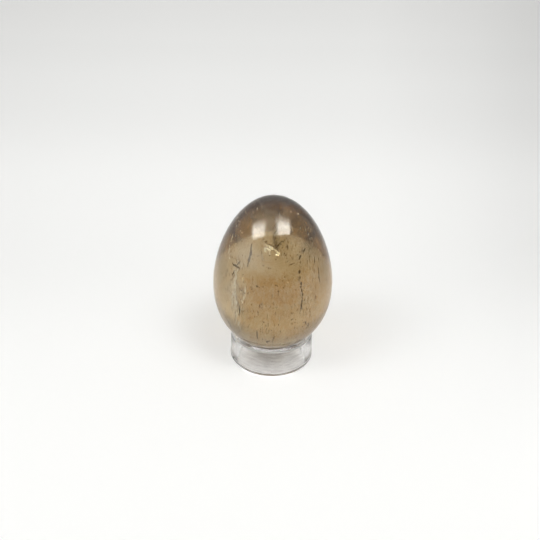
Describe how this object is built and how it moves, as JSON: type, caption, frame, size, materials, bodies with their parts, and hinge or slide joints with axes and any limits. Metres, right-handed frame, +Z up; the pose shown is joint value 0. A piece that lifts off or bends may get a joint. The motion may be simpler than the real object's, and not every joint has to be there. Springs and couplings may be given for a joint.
{
  "type": "stone egg on stand",
  "caption": "Polished see-through brown stone egg that stands small end up in a clear plastic ring and lifts out of it.",
  "frame": {"origin": "centre of the ring's foot, on the surface that it stands on", "axes": "+Z up, along the axis that the ring and the egg share. The object is the same all round, so +X and +Y are free; the picture looks along +Y"},
  "size_m": [0.0436, 0.0436, 0.0647],
  "materials": {
    "clear_plastic": "clear moulded plastic, glossy, with faint moulding marks",
    "smoky_quartz": "polished and see-through, smoky brown, with veils, cracks and needles inside"
  },
  "bodies": {
    "ring": {"ring_stand": "clear_plastic"},
    "egg": {"stone_egg": "smoky_quartz"}
  },
  "joints": [
    {"name": "egg_lift", "type": "slide", "parent": "ring", "child": "egg", "axis": [0, 0, 1], "range_m": [0, 0.03]}
  ]
}
